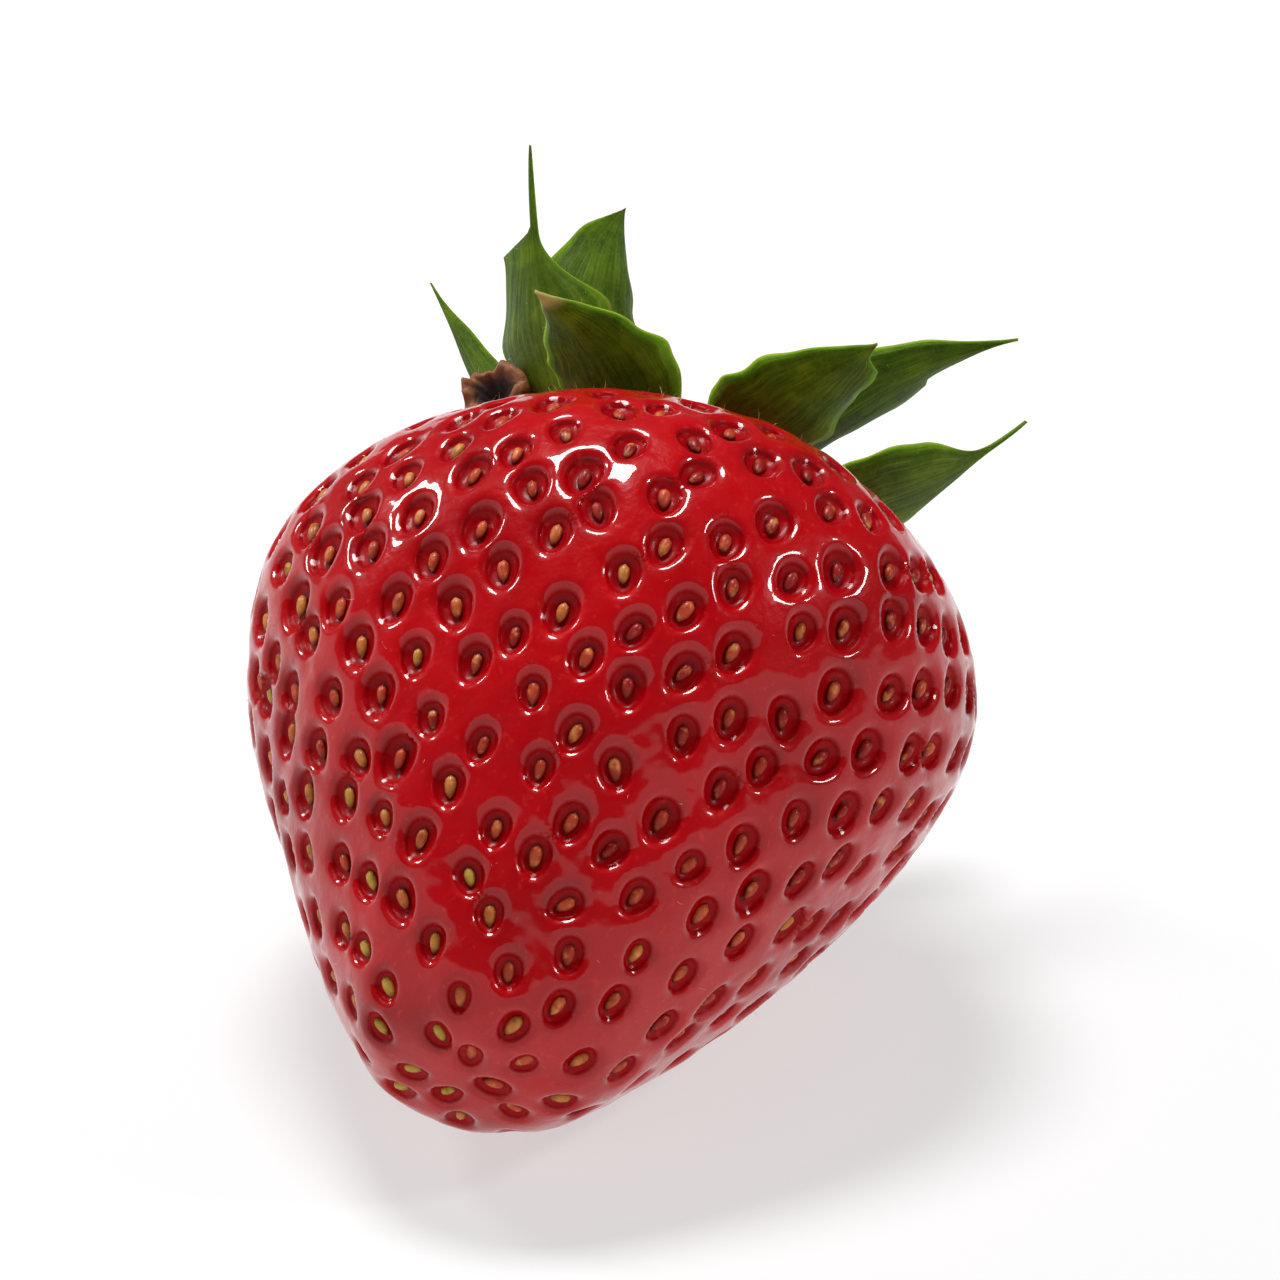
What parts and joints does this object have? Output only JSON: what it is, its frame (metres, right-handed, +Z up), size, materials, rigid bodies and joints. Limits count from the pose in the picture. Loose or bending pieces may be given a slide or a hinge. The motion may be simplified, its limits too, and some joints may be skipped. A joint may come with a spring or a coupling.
{
  "type": "strawberry",
  "caption": "Ripe red strawberry lying on its side, with a green leafy calyx and a short dried stalk bent over its shoulder.",
  "frame": {"origin": "on the surface that the strawberry lies on, under the middle of its bounding box", "axes": "+Z up; the tip points towards -Y and the calyx towards +Y; +X is to the right when the tip points at the viewer"},
  "size_m": [0.0464, 0.065, 0.0432],
  "materials": {
    "berry_skin": "gloss",
    "collar_green": "matte",
    "leaf_green": "satin",
    "stalk_brown": "matte"
  },
  "bodies": {
    "root": {"berry": "berry_skin", "calyx_collar": "collar_green", "sepal_1": "leaf_green", "bract_1": "leaf_green", "sepal_2": "leaf_green", "sepal_3": "leaf_green", "bract_2": "leaf_green", "sepal_4": "leaf_green", "bract_3": "leaf_green", "sepal_5": "leaf_green", "bract_4": "leaf_green", "sepal_6": "leaf_green", "bract_5": "leaf_green", "sepal_7": "leaf_green", "stalk": "stalk_brown"}
  },
  "joints": []
}
